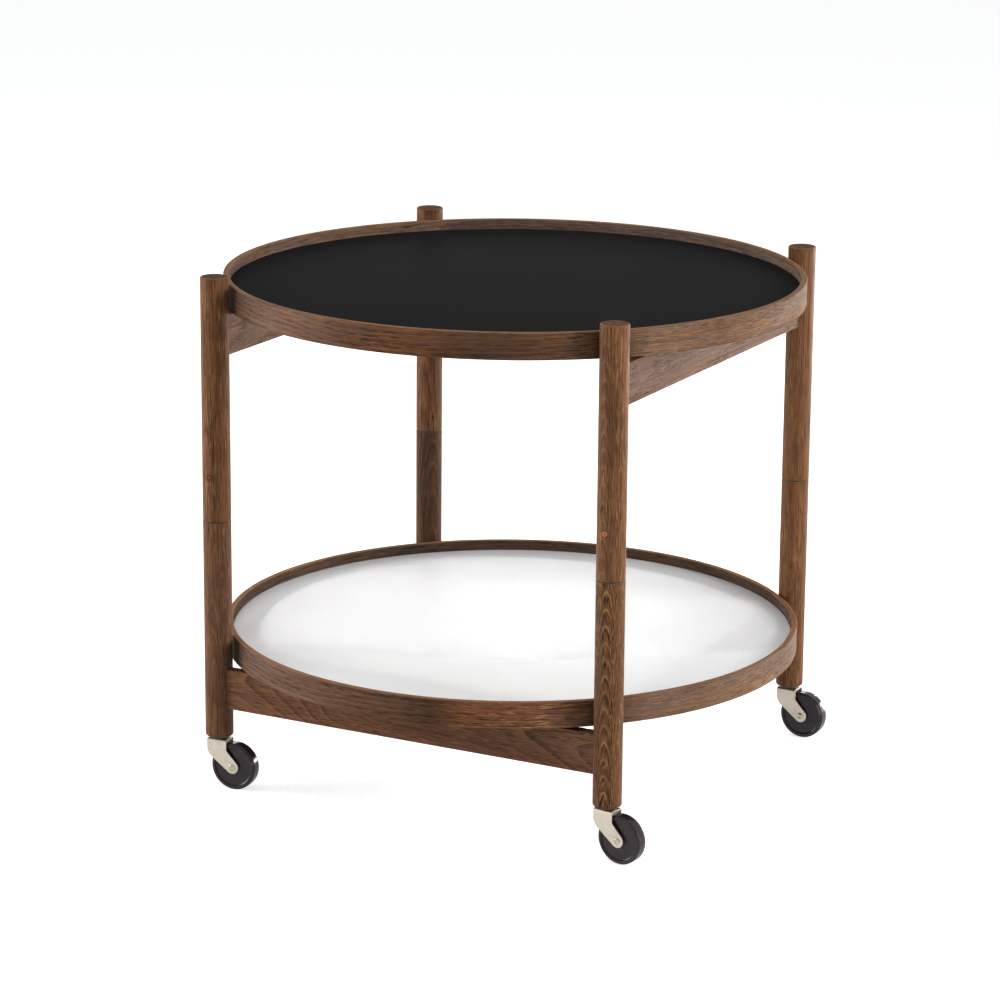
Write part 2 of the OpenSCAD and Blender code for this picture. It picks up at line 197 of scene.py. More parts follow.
def rim_tone_and_light(s, angle, tone_light_patches):
    """The tint, partly the wood's tone and partly painted shade and painted sheen, and the wealth of golden
    flecks round a rim, from its tone_light_patches.
    """
    made = s.tree.nodes.new("ShaderNodeValToRGB")
    s.tree.links.new(s.math("MULTIPLY_ADD", angle, 1 / math.tau, 0.5), made.inputs[0])
    stops = made.color_ramp.elements
    for i, (direction, level, grey, rich) in enumerate(tone_light_patches):
        spot = direction / 360 + 0.5
        stop = stops[i] if i < 2 else stops.new(spot)
        stop.position = spot
        # level paints tone and painted shade, and greyness a painted grey sheen by raising green and blue
        stop.color = (level, level * (1 + 0.13 * grey), level * (1 + 0.26 * grey), rich)
    return made.outputs


def growth(s, place, start, pith, tilt, ring, swing, jitter):
    """The age of a place in years, by its way from the tree's middle, which wanders and drifts along it."""
    wave = s.noise(place, (3.2, 9, 9), detail=1.5)
    other = s.noise(place, (4.1, 11, 11), detail=1.5, shift=(0.4, 0.2, 0.9))
    reach = math.hypot(*pith)
    run = s.times(s.math("ADD", s.math("SUBTRACT", s.split(place)[0], start), 1.0), tilt)
    across = s.vector("ADD", s.vector("MULTIPLY", place, (0, 1, 1)), (0, *pith))
    drift = s.join(0.0, s.times(run, pith[0] / reach), s.times(run, pith[1] / reach))
    across = s.vector("ADD", across, drift)
    wander = s.vector("SUBTRACT", s.join(0.0, wave, other), (0, 0.5, 0.5))
    across = s.vector("ADD", across, s.vector("MULTIPLY", wander, (0, 0.016 * swing, 0.012 * swing)))
    rings = s.math("DIVIDE", s.vector("LENGTH", across), ring)
    return s.math("MULTIPLY_ADD", s.noise(place, (40, 420, 420)), jitter, rings)


def wood(name, grain, seed, centre, pith, tilt, ring, tone, figure, red, gloss, sheen_veil, dash, gold,
         short=110, swing=1.0, jitter=0.4, crest=0.0, dark_lines=0.0, knots=(), tone_light_patches=(),
         inside_light_tint=(1, 1, 1, 1)):
    """Dark oiled oak, in metres: growth rings, streaks, pores and flecks.

    grain      the axis x, y or z that it follows, or round for a bent rim
    centre     a point on the piece's axis
    pith       the way from the middle of the tree to the piece, and tilt how fast that changes along it
    ring       the width of a year; swing and jitter are how much the rings wander and how ragged they are
    tone       how much lighter than plain, and red how red its redder stretches are
    figure     the strength of the light ring lines, and dark_lines that of the dark ones
    crest      how far the light lines fade down the sides of their arches
    gloss      the specular level, and sheen_veil a painted sheen, a grey haze over the colour
    dash, gold the strengths of the dark and the golden flecks, and short how many of them fit in a metre
    knots      (place, radius, colour of the edge) of each knot
    tone_light_patches (direction in degrees, level, greyness, wealth of golden flecks) round the outside of a
    rim; level and greyness are partly the wood's tone and partly painted light: painted shade beside the legs
    and a painted grey sheen where the rim turns away at its sides inside_light_tint the tint of a rim's inner
    face and underside, painted light and shade
    """
    s = Shader(name, Roughness=0.5, Specular_IOR_Level=gloss)
    object_place, normal = (s.add("TexCoord", out=i) for i in (3, 1))
    x, y, z = s.split(object_place)
    if grain == "round":
        angle, place = rim_place(s, x, y, s.math("SUBTRACT", z, centre[2]))
        tone_and_light_tint, stretch_gold = rim_tone_and_light(s, angle, tone_light_patches)
        outer = s.span(s.vector("DOT_PRODUCT", normal, s.join(x, y, 0.0)), 0.1, 0.2)
        lit_top = s.span(s.vector("DOT_PRODUCT", normal, AXES["z"]), 0.3, 0.8)
    else:
        # Along the piece first, then the two ways across it
        order = {"x": (0, 1, 2), "y": (1, 0, 2), "z": (2, 0, 1)}[grain]
        place = s.join(*((x, y, z)[axis] for axis in order))
        place = s.vector("SUBTRACT", place, (0, centre[order[1]], centre[order[2]]))
        end = s.span(s.math("ABSOLUTE", s.vector("DOT_PRODUCT", normal, AXES[grain])), 0.5, 0.9)
    start = seed * SEED_STEP
    place = s.vector("ADD", place, (start, 0, 0))

    # The rings: a pale line at the start of a year, porous early wood, and dark late wood
    age = growth(s, place, start, pith, tilt, ring, swing, jitter)
    year = s.math("FRACT", age)
    strength = s.add("TexWhiteNoise", None, s.math("FLOOR", age), noise_dimensions="1D")
    strength = s.math("MULTIPLY_ADD", strength, 0.7, 0.3)
    line = s.times(s.times(s.span(year, 0.0, 0.05), s.span(year, 0.22, 0.08)), strength)
    if crest:
        # The arches show where the rings lie flat to the surface, and fade down their sides
        bark_side = [p / math.hypot(*pith) / (LEG_R * MM) for p in pith]
        flat = s.vector("DOT_PRODUCT", place, (0, *bark_side))
        line = s.times(line, s.span(flat, 0.958, 0.992, 1 - crest, 1))
    porous = s.times(s.span(year, 0.14, 0.3), s.span(year, 0.95, 0.4))

    # Streaks from broad to fine, flecks, and pores, which are thick in the early wood
    broad = s.noise(place, (2.1, 34, 34))
    hue = s.noise(place, (1.3, 20, 20), detail=1, shift=(3.1, 0.7, 0.2))
    streak = s.noise(place, (5, 300, 300), detail=3, rough=0.7)
    fine = s.noise(place, (22, 820, 820), rough=0.6, shift=(7.3, 0.1, 0.6))
    fleck = s.noise(place, (short, 640, 640), rough=0.55, shift=(1.7, 0.4, 0.3))
    dark_dash = s.noise(place, (short * 0.9, 820, 820), detail=1, shift=(0.6, 2.4, 0.9))
    cloud = s.noise(place, (14, 70, 70))
    region = s.noise(place, (9, 60, 60), shift=(5.2, 0.3, 1.9))
    fibre = s.noise(place, (45, 1500, 1500), rough=0.6)
    blotch = s.noise(place, (8, 120, 120), detail=3, rough=0.6, shift=(2.9, 1.3, 0.8))
    pore = s.span(s.noise(place, (70, 1300, 1300), detail=1), 0.54, 0.66)
    pore = s.times(pore, s.math("MULTIPLY_ADD", porous, 0.7, 0.3))

    # The colour, laid on from the ground up
    colour = s.mix(s.span(broad, 0.3, 0.72, 0, 0.8), WOOD_MID, WOOD_LIGHT)
    colour = s.mix(s.span(hue, 0.42, 0.75, 0, red), colour, WOOD_RED)
    colour = s.mix(s.span(hue, 0.45, 0.2, 0, 0.45), colour, WOOD_GREY)
    colour = s.mix(s.times(porous, 0.35 * figure), colour, WOOD_DARK)
    if dark_lines:
        late = s.times(s.times(s.span(year, 0.55, 0.95), s.span(year, 1.0, 0.97)), strength)
        colour = s.mix(s.times(late, dark_lines), colour, WOOD_DEEP)
    for value, low, high, share, tint in ((blotch, 0.5, 0.68, 0.45, WOOD_DARK),
                                          (streak, 0.52, 0.72, 0.5, WOOD_DARK),
                                          (streak, 0.46, 0.28, 0.35, WOOD_LIGHT),
                                          (fine, 0.5, 0.66, 0.5, WOOD_DARK),
                                          (fine, 0.44, 0.28, 0.35, WOOD_LIGHT)):
        colour = s.mix(s.span(value, low, high, 0, share), colour, tint)
    lively = golden = s.span(region, 0.4, 0.62, 0.35, 1)
    if grain == "round":
        golden = s.math("MULTIPLY_ADD", stretch_gold, 3.5, lively)
    flecks = s.times(s.span(fleck, 0.54, 0.63, 0, gold), golden, clamp=True)
    colour = s.mix(flecks, colour, WOOD_OCHRE)
    dashes = s.times(s.span(dark_dash, 0.52, 0.6, 0, dash), lively, clamp=True)
    colour = s.mix(s.times(dashes, s.math("MULTIPLY_ADD", porous, 0.6, 0.4)), colour, WOOD_DEEP)
    colour = s.mix(s.span(fibre, 0.3, 0.7, 0.3, 0), colour, WOOD_DARK)
    colour = s.mix(s.times(pore, 0.6), colour, WOOD_DEEP)
    colour = s.mix(s.times(line, 0.6 * figure, clamp=True), colour, WOOD_OCHRE)
    for spot, size, edge_colour in knots:
        gap = s.vector("LENGTH", s.vector("SUBTRACT", object_place, spot))
        gap = s.math("ADD", gap, s.math("MULTIPLY_ADD", fleck, 0.004, -0.002))
        for outside, within, share, tint in ((1.9, 1.1, 0.5, WOOD_DARK), (1.15, 0.85, 0.9, srgb(edge_colour)),
                                             (0.75, 0.5, 0.8, KNOT_HEART), (0.3, 0.15, 0.7, WOOD_OCHRE)):
            colour = s.mix(s.span(gap, size * outside, size * within, 0, share), colour, tint)
    # A painted sheen: a cloudy grey haze over the colour
    colour = s.mix(s.span(cloud, 0.25, 0.75, sheen_veil * 0.6, sheen_veil * 1.4), colour, WOOD_SHEEN_GREY)
    if grain == "round":
        # The top face is painted lighter and warmer: a painted highlight where the light from above falls on
        # it
        # The inner face and underside take the painted light and shade of inside_light_tint
        tint = s.mix(lit_top, s.mix(outer, inside_light_tint, tone_and_light_tint), TOP_HIGHLIGHT_WARM)
        colour = s.mix(1.0, colour, tint, blend="MULTIPLY")
        colour = s.mix(s.times(lit_top, 0.14), colour, WOOD_OCHRE)
    else:
        colour = s.mix(s.times(end, 0.8), colour, END_DARK)
        colour = s.mix(s.times(end, s.span(fleck, 0.52, 0.62, 0, 0.55)), colour, WOOD_LIGHT)
    if grain == "z":
        # Coarse end grain, and a painted highlight in a light ring round the edge of each end face
        colour = s.mix(s.times(end, s.span(streak, 0.48, 0.6, 0, 0.45)), colour, WOOD_LIGHT)
        from_axis = s.vector("LENGTH", s.vector("MULTIPLY", place, (0, 1, 1)))
        end_edge_highlight = s.span(from_axis, (LEG_R - 2.1) * MM, (LEG_R - 0.9) * MM, 0, 0.45)
        colour = s.mix(s.times(end, end_edge_highlight), colour, WOOD_OCHRE)
    shade = s.tree.nodes.new("ShaderNodeVectorMath")
    shade.operation = "SCALE"
    shade.inputs["Scale"].default_value = 1.0 + tone
    s.tree.links.new(colour, shade.inputs[0])
    s.set("Base Color", shade.outputs[0])

    rough = s.math("ADD", s.span(streak, 0.3, 0.7, 0.44, 0.54), s.times(pore, 0.2))
    s.set("Roughness", rough if grain == "round" else s.math("MULTIPLY_ADD", end, 0.35, rough))
    s.set_bump(s.math("SUBTRACT", s.times(fibre, 0.35), pore), 0.00022, 0.8)
    return s.material


# Other materials

def laminate(name, base, dust, rough, gloss):
    """Satin laminate: an orange-peel skin, faint clouds, specks of dust and hair scratches."""
    s = Shader(name, Roughness=rough, Specular_IOR_Level=gloss)
    place = s.add("TexCoord", out=3)
    cloud = s.noise(place, (7, 7, 7), detail=3, rough=0.6)
    speck = s.noise(place, (900, 900, 900), detail=0)
    peel = s.noise(place, (2600, 2600, 2600), detail=1)
    turned = s.add("VectorRotate", place, None, AXES["z"], 0.6)
    scratch = s.noise(turned, (9, 1700, 1), detail=0)
    scratch = s.times(s.span(scratch, 0.8, 0.84), s.span(cloud, 0.5, 0.62))
    colour = s.mix(s.span(cloud, 0.35, 0.7, 0, 0.06), base, dust)
    colour = s.mix(s.span(speck, 0.78, 0.86, 0, 0.15), colour, dust)
    colour = s.mix(s.times(scratch, 0.06), colour, dust)
    s.set("Base Color", colour)
    uneven = s.span(cloud, 0.3, 0.7, rough - 0.02, rough + 0.03)
    s.set("Roughness", s.math("ADD", uneven, s.times(scratch, 0.1)))
    s.set_bump(s.math("SUBTRACT", peel, scratch), 0.00003)
    return s.material


def metal(name, colour, dark, rough, brush):
    """Plated sheet or turned metal: brush lines along one axis, cloudy tarnish and fine dents."""
    s = Shader(name, Metallic=1.0)
    place = s.add("TexCoord", out=3)
    lines = s.noise(place, brush, rough=0.6)
    cloud = s.noise(place, (90, 90, 90), detail=3, rough=0.6)
    pit = s.span(s.noise(place, (700, 700, 700), detail=1), 0.68, 0.8)
    tint = s.mix(s.span(cloud, 0.45, 0.75, 0, 0.3), colour, dark)
    s.set("Base Color", s.mix(s.times(pit, 0.25), tint, dark))
    worn = s.math("MULTIPLY_ADD", s.span(cloud, 0.3, 0.7), 0.12, rough - 0.06)
    s.set("Roughness", s.math("MULTIPLY_ADD", lines, 0.1, worn))
    s.set_bump(s.math("SUBTRACT", s.times(lines, 0.4), pit), 0.00006)
    return s.material


def plastic(name, colour, worn, rough, scuff=0.3, gloss=0.5):
    """Moulded plastic with a fine skin, scuffs and settled dust."""
    s = Shader(name, Roughness=rough, Specular_IOR_Level=gloss)
    place = s.add("TexCoord", out=3)
    cloud = s.noise(place, (60, 60, 60), detail=4, rough=0.65)
    skin = s.noise(place, (1800, 1800, 1800), detail=1)
    rub = s.times(s.span(s.noise(place, (240, 900, 240)), 0.58, 0.75), s.span(cloud, 0.45, 0.65))
    dull = s.math("MULTIPLY_ADD", rub, scuff, s.span(cloud, 0.4, 0.8, 0, 0.15))
    s.set("Base Color", s.mix(dull, colour, worn))
    uneven = s.span(cloud, 0.3, 0.7, rough - 0.02, rough + 0.05)
    s.set("Roughness", s.math("MULTIPLY_ADD", rub, 0.1, uneven))
    s.set_bump(s.math("SUBTRACT", s.times(skin, 0.5), rub), 0.00004)
    return s.material


def fibreboard(name):
    """Pale pressed board: short fibres and a mealy surface."""
    s = Shader(name, Roughness=0.85)
    place = s.add("TexCoord", out=3)
    chips = s.noise(place, (500, 500, 2200), detail=3, rough=0.7)
    cloud = s.noise(place, (30, 30, 30))
    colour = s.mix(s.span(chips, 0.35, 0.7), srgb("8f6f4c"), srgb("c9ab80"))
    s.set("Base Color", s.mix(s.span(cloud, 0.4, 0.7, 0, 0.3), colour, srgb("7a5c3e")))
    s.set_bump(chips, 0.0002, 0.6)
    return s.material


# Meshes

def arc(points, radii):
    """A line of (x, y) points with its corners rounded to the given radii, one for each point."""
    out = []
    for i, (point, r) in enumerate(zip(points, radii)):
        if not r or i in (0, len(points) - 1):
            out.append(tuple(point))
            continue
        p, a, b = Vector(point), Vector(points[i - 1]), Vector(points[i + 1])
        u, v = (a - p).normalized(), (b - p).normalized()
        half = u.angle(v) / 2
        cut = r / math.tan(half)
        centre = p + (u + v).normalized() * (r / math.sin(half))
        start, end = p + u * cut - centre, p + v * cut - centre
        turn = start.angle_signed(end)
        steps = max(3, int(abs(math.degrees(turn)) / 12))
        for k in range(steps + 1):
            w = -turn * k / steps
            c, sn = math.cos(w), math.sin(w)
            out.append((centre.x + c * start.x - sn * start.y, centre.y + sn * start.x + c * start.y))
    return out


def box_outline(x_low, x_high, y_low, y_high, *radii):
    """Profile of a turned disc or ring in mm, with the radii of its corners in order round it."""
    return arc([(x_low, y_low), (x_high, y_low), (x_high, y_high), (x_low, y_high)], radii)


def show(mesh, way, node, material, sharp=35):
    """Makes a piece from a mesh in metres in the row frame: it rides on its node's body and replaces it.

    way is how the piece was made, and begins its name. Edges over sharp degrees stay sharp.
    """
    obj = bpy.data.objects.new(f"{way}_{node}", mesh)
    bpy.context.scene.collection.objects.link(obj)
    mesh.materials.append(material)
    for polygon in mesh.polygons:
        polygon.use_smooth = True
    mesh.set_sharp_from_angle(angle=math.radians(sharp))
    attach(obj, BODY_OF[node])
    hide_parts(node)
    return obj


def finish(node, material):
    """Gives a node of the frame that stays as it is its material."""
    nodes[node].data.materials.clear()
    nodes[node].data.materials.append(material)


def mesh_of(bm, name):
    bmesh.ops.recalc_face_normals(bm, faces=bm.faces)
    mesh = bpy.data.meshes.new(name)
    bm.to_mesh(mesh)
    bm.free()
    return mesh


def lathe(name, profile, matrix, steps=96, closed=False):
    """Turns a profile of (radius, height) in mm round its Z axis. closed joins its ends, for a ring."""
    bm = bmesh.new()
    rows = []
    for r, h in profile:
        if r < 1e-6:
            rows.append([bm.verts.new(matrix @ Vector((0, 0, h * MM)))])
            continue
        rows.append([bm.verts.new(matrix @ Vector((r * MM * math.cos(math.tau * k / steps),
                                                   r * MM * math.sin(math.tau * k / steps), h * MM)))
                     for k in range(steps)])
    pairs = list(zip(rows, rows[1:])) + ([(rows[-1], rows[0])] if closed else [])
    for low, high in pairs:
        if len(low) == 1 and len(high) == 1:
            continue
        for k in range(steps):
            n = (k + 1) % steps
            if len(low) == 1:
                bm.faces.new((low[0], high[k], high[n]))
            elif len(high) == 1:
                bm.faces.new((low[k], low[n], high[0]))
            else:
                bm.faces.new((low[k], low[n], high[n], high[k]))
    return mesh_of(bm, name)


def prism(outline, low, high, turn):
    """A block from an (x, y) outline in mm, drawn out from low to high; turn places its points."""
    bm = bmesh.new()
    ends = [[bm.verts.new(turn(x * MM, y * MM, t * MM)) for x, y in outline] for t in (low, high)]
    bm.faces.new(ends[0])
    bm.faces.new(list(reversed(ends[1])))
    count = len(outline)
    for k in range(count):
        n = (k + 1) % count
        bm.faces.new((ends[0][k], ends[1][k], ends[1][n], ends[0][n]))
    bmesh.ops.recalc_face_normals(bm, faces=bm.faces)
    return bm


def soften(obj, width, segments, angle=30):
    """Rounds the edges of a piece that are sharper than angle, width in mm."""
    made = obj.modifiers.new("edges", "BEVEL")
    made.width = width * MM
    made.segments = segments
    made.limit_method = "ANGLE"
    made.angle_limit = math.radians(angle)
    made.harden_normals = False


# Legs

# The front leg's tree has narrow, even rings with arches, and its lower half has the strongest figure
PLAIN_TREE = dict(ring=1.5 * MM, swing=1.0, jitter=0.4, crest=0.0)
FRONT_TREE = dict(ring=1.05 * MM, swing=0.12, jitter=0.12, crest=0.85)
PLAIN_FIGURE = dict(figure=0.4, dash=0.6, gold=0.4, short=55)
STRONG_FIGURE = dict(figure=1.5, dash=1.2, gold=0.75, short=115)
# For each leg: the tones of its lower and upper half, the way its bark faces in degrees from +X, how many
# metres it grew from the middle of its tree, and how fast its rings run out along it
# The back leg's tones, well below plain, paint the shade that falls on it
LEG_WOOD = {"left": dict(tones=(-0.06, 0.0), bark=100, reach=0.045, tilt=0.012, tree=PLAIN_TREE),
            "front": dict(tones=(0.0, 0.2), bark=-80, reach=0.16, tilt=-0.06, tree=FRONT_TREE),
            "right": dict(tones=(0.06, 0.04), bark=20, reach=0.045, tilt=0.012, tree=PLAIN_TREE),
            "back": dict(tones=(-0.5, -0.22), bark=-58, reach=0.045, tilt=-0.03, tree=PLAIN_TREE)}
# The upper half is turned this many degrees against the lower one
HALF_TURN = 22
KNOTS = {"upper_leg_left": [((-0.2243, -0.2384, 0.334), 3.2 * MM, "6a3122")],
         "upper_leg_front": [((0.2236, -0.2385, 0.3356), 2.6 * MM, "b8744a")]}
# These two legs get a stronger painted sheen
SHEENED_LEGS = ("lower_leg_left", "lower_leg_back")
HALVES = (("lower", LEG_BOTTOM_Z, SEAM_LOW, LEG_BOTTOM_R, SEAM_EDGE_R),
          ("upper", SEAM_HIGH, LEG_TOP_Z, SEAM_EDGE_R, LEG_TOP_R))
# A ring of points on each end face keeps its shading flat
END_RING_R = 10

for i, (place, (sx, sy)) in enumerate(PLACES.items()):
    x, y = sx * LEG_AXIS * MM, sy * LEG_AXIS * MM
    look = LEG_WOOD[place]
    for j, (half, low, high, r_low, r_high) in enumerate(HALVES):
        node = f"{half}_leg_{place}"
        profile = box_outline(0, LEG_R, low, high, 0, r_low, r_high, 0)
        profile.insert(1, (END_RING_R, low))
        profile.insert(-1, (END_RING_R, high))
        bark = math.radians(look["bark"] - HALF_TURN * j)
        grain = wood(node + "_wood", "z", seed=i * 2.3 + j * 11.1, centre=(x, y, 0),
                     pith=(look["reach"] * math.cos(bark), look["reach"] * math.sin(bark)), tilt=look["tilt"],
                     tone=look["tones"][j], red=0.25, gloss=0.05, sheen_veil=0.06 if node in SHEENED_LEGS else 0.015,
                     knots=KNOTS.get(node, ()), **look["tree"],
                     **(STRONG_FIGURE if node == "lower_leg_front" else PLAIN_FIGURE))
        show(lathe(node, profile, Matrix.Translation((x, y, 0))), "turned", node, grain)


# Rails, each with its raised land under the tray's panel

LOWER_BOARD = dict(pith=(0.12, -0.035), tilt=-0.05, ring=2.3 * MM, sheen_veil=0.05, gloss=0.05)
RAILS = (
    ("lower_rail_front", "x", -1, LOWER_RAIL_Z, dict(tone=0.2, red=0.9, dark_lines=0.9, **LOWER_BOARD)),
    ("lower_rail_back", "x", 1, LOWER_RAIL_Z, dict(tone=0.1, red=0.75, dark_lines=0.7, **LOWER_BOARD)),
    ("upper_rail_left", "y", -1, UPPER_RAIL_Z, dict(tone=0.02, red=0.3, dark_lines=0.1, pith=(0.07, -0.024),
                                                    tilt=0.02, ring=4.5 * MM, sheen_veil=0.08, gloss=0.045)),
    ("upper_rail_right", "y", 1, UPPER_RAIL_Z, dict(tone=-0.26, red=0.3, dark_lines=0.1, pith=(0.08, -0.028),
                                                    tilt=0.02, ring=4.5 * MM, sheen_veil=0.055, gloss=0.036)))
LAND_FOOT_R = 0.6

for i, (node, axis, side, z, look) in enumerate(RAILS):
    top, land_top = z + RAIL_H, z + RAIL_H + LAND_H
    outline = arc([(-RAIL_END, z), (RAIL_END, z), (RAIL_END, top),
                   (LAND_HALF, top), (LAND_HALF, land_top), (-LAND_HALF, land_top), (-LAND_HALF, top),
                   (-RAIL_END, top), (-RAIL_END, z)],
                  [0, 0, 0, LAND_FOOT_R, LAND_CORNER_R, LAND_CORNER_R, LAND_FOOT_R, 0, 0])[:-1]
    off = side * LEG_AXIS * MM
    if axis == "x":
        turn = lambda u, h, v: Vector((u, off + v, h))
        centre = (0, off, z * MM)
    else:
        turn = lambda u, h, v: Vector((off + v, u, h))
        centre = (off, 0, z * MM)
    mesh = mesh_of(prism(outline, -RAIL_T / 2, RAIL_T / 2, turn), node)
    grain = wood(node + "_wood", axis, seed=31.7 + i * 4.9, centre=centre, figure=0.1, swing=1.6, dash=0.35,
                 gold=0.2, jitter=0.2, **look)
    soften(show(mesh, "planed", node, grain), RAIL_EDGE_R, 3)


# Trays

SHEETS = {"black_laminate": laminate("black_laminate", srgb("222222"), srgb("313131"), 0.45, 0.0002),
          "white_laminate": laminate("white_laminate", srgb("d8d8d8"), srgb("cfcfcf"), 0.5, 0.08)}
board = fibreboard("board")
# Lighter, darker, greyer and more golden stretches round each rim, as wood() takes them. The golden flecks
# and part of the lightness are the wood's own; the rest is painted light: painted shade beside the legs, and
# a painted grey sheen where the rim turns away at its sides
RIM_TONE_AND_LIGHT = {
    "upper": (
        (-180, 0.85, 1, 0), (-152, 0.6, 0.6, 0), (-136, 0.54, 0.7, 0), (-129, 0.46, 0.9, 0),
        (-122, 0.86, 1.1, 0), (-115, 1.16, 1, 0.1), (-110, 1.2, 1, 0), (-96, 0.88, 0, 0),
        (-83, 1.02, -0.9, 0.1), (-68, 0.62, -0.1, 0), (-60, 0.72, -0.2, 0), (-52, 0.98, -0.1, 0),
        (-45, 0.43, 0.3, 0), (-36, 1.17, 0.8, 0.55), (-20, 0.84, 0.9, 0.5), (-10, 1.08, 1, 0.3),
        (8, 1.15, 1.6, 0.1), (25, 1.4, 2.2, 0), (90, 1.0, 1.6, 0)),
    "lower": (
        (-180, 0.7, 1, 0), (-150, 0.6, 1, 0), (-138, 0.55, 1, 0), (-132, 0.4, 1, 0),
        (-125, 0.88, 1.3, 0), (-118, 0.98, 1.2, 0), (-98, 0.82, 0.4, 0.2), (-86, 0.7, 0.1, 0.3),
        (-78, 0.47, 0.4, 0.3), (-70, 1.1, -1.0, 1), (-56, 1.18, -0.5, 1), (-46, 0.57, 0.5, 0.3),
        (-36, 1.1, 0.8, 0.25), (-22, 1.08, 0.9, 0.2), (-8, 1.14, 0.9, 0.1), (6, 1.05, 1.9, 0),
        (25, 1.4, 2.4, 0), (90, 0.7, 0.6, 0))}
# Each tray: its foot, the tint inside its rim, which is painted light and shade (lighter and greyer in the
# upper tray, darker in the lower one under the upper tray's shade), and the sheets on the two sides of its
# panel
TRAYS = (("upper", UPPER_TRAY_Z, (1.2, 1.47, 1.75, 1), "black_laminate", "white_laminate"),
         ("lower", LOWER_TRAY_Z, (0.5, 0.6, 0.68, 1), "white_laminate", "black_laminate"))
TRAY_STEPS = 360

for i, (tray, z, inside_light_tint, top, bottom) in enumerate(TRAYS):
    # The rim's profile starts in the middle of its foot, so that all its corners are rounded
    section = arc([(TRAY_R - 3, z), (TRAY_R, z), (TRAY_R, z + RIM_H), (TRAY_INNER_R, z + RIM_H),
                   (TRAY_INNER_R, z), (TRAY_R - 3, z)], [0] + [RIM_EDGE_R] * 4 + [0])[:-1]
    grain = wood(tray + "_rim_wood", "round", seed=3.3 + 7.7 * i, centre=(0, 0, z * MM), pith=(0.03, 0.05),
                 tilt=0.012, ring=2.1 * MM, figure=0.3, red=0.4, gloss=0.003, sheen_veil=0.12, gold=0.15, dash=0.9,
                 short=75, tone=0.06 + 0.04 * i, tone_light_patches=RIM_TONE_AND_LIGHT[tray], inside_light_tint=inside_light_tint)
    mesh = lathe(tray + "_rim", section, Matrix(), TRAY_STEPS, closed=True)
    show(mesh, "bent", f"{tray}_tray_rim", grain)
    for face, low, slot in (("top", z + PANEL_LOW + PANEL_T - SHEET_T, top),
                            ("bottom", z + PANEL_LOW, bottom)):
        node = f"{tray}_tray_{face}_sheet"
        profile = box_outline(0, SHEET_R, low, low + SHEET_T, 0, 0.2, 0.2, 0)
        show(lathe(node, profile, Matrix(), TRAY_STEPS), "pressed", node, SHEETS[slot])
    finish(f"{tray}_tray_core", board)


# Casters

nickel = metal("nickel", srgb("b3aa9c"), srgb("807667"), 0.34, (60, 60, 1400))
rivet_metal = metal("rivet_nickel", srgb("a69d8f"), srgb("665d52"), 0.16, (300, 300, 300))
zinc = metal("zinc", srgb("c4c4c2"), srgb("7d7b78"), 0.28, (900, 900, 60))
wheel_plastic = plastic("wheel_plastic", srgb("281c21"), srgb("40343a"), 0.16, 0.12, gloss=0.25)
nylon = plastic("dark_nylon", srgb("161415"), srgb("39363a"), 0.5)
brass = metal("brass", srgb("c79b55"), srgb("7a5a2c"), 0.3, (1200, 1200, 60))


def circle(centre, radius, begin, end, steps):
    """Points in mm along an arc from one angle to another."""
    return [(centre.x + radius * math.cos(begin + (end - begin) * k / steps),
             centre.y + radius * math.sin(begin + (end - begin) * k / steps)) for k in range(steps + 1)]


def cheek_outline():
    """Side outline of a fork cheek in mm: X trails, Y is height. It rounds the plate's front and the axle."""
    front, front_r = Vector((1.5, 44)), 12
    horn, horn_r = Vector((TRAIL, AXLE_Z)), 7
    back, back_r = Vector((PLATE_BACK, 42)), 3
    lean = math.atan2(horn.y - front.y, horn.x - front.x)
    down = lean - math.acos((front_r - horn_r) / (horn - front).length)
    reach = (horn - back).length
    slope = math.atan2(horn.y - back.y, horn.x - back.x) + math.asin(horn_r / reach)
    touch = back + math.sqrt(reach ** 2 - horn_r ** 2) * Vector((math.cos(slope), math.sin(slope)))
    up = math.atan2(touch.y - horn.y, touch.x - horn.x)
    points = [(-PLATE_FRONT, PLATE_TOP)]
    points += circle(front, front_r, -math.pi, down, 14)
    points += circle(horn, horn_r, down, up, 20)
    points += arc([tuple(touch), tuple(back), (PLATE_BACK, PLATE_TOP)], [0, back_r, 0])[1:]
    return points


def round_along(bm, height, radius, segments):
    """Rounds the long edges that lie at one height, as a press brake does."""
    edges = [e for e in bm.edges if all(abs(v.co.z - height * MM) < 1e-6 for v in e.verts)
             and abs(e.verts[0].co.x - e.verts[1].co.x) > 0.01]
    bmesh.ops.bevel(bm, geom=edges, offset=radius * MM, segments=segments, affect="EDGES", profile=0.5)


def fork_mesh():
    """The bent sheet of the fork, with the stem's axis at the origin and the trail along +X."""
    place = lambda u, h, v: Vector((u, v, h))
    outer = prism(cheek_outline(), -CHEEK_OUT, CHEEK_OUT, place)
    round_along(outer, PLATE_TOP, BEND_OUT_R, 5)
    inner = prism([(-30, -10), (50, -10), (50, PLATE_LOW), (-30, PLATE_LOW)], -CHEEK_IN, CHEEK_IN, place)
    round_along(inner, PLATE_LOW, BEND_IN_R, 3)
    solid = bpy.data.objects.new("fork_outer", mesh_of(outer, "fork_outer"))
    cutter = bpy.data.objects.new("fork_inner", mesh_of(inner, "fork_inner"))
    for obj in (solid, cutter):
        bpy.context.scene.collection.objects.link(obj)
    cut = solid.modifiers.new("cut", "BOOLEAN")
    cut.operation, cut.solver, cut.object = "DIFFERENCE", "EXACT", cutter
    bpy.context.view_layer.update()
    made = bpy.data.meshes.new_from_object(solid.evaluated_get(bpy.context.evaluated_depsgraph_get()))
    for obj in (solid, cutter):
        bpy.data.objects.remove(obj)
    return made


def mirrored(profile):
    """A profile's points at the opposite heights, in reverse order."""
    return [(r, -h) for r, h in reversed(profile)]


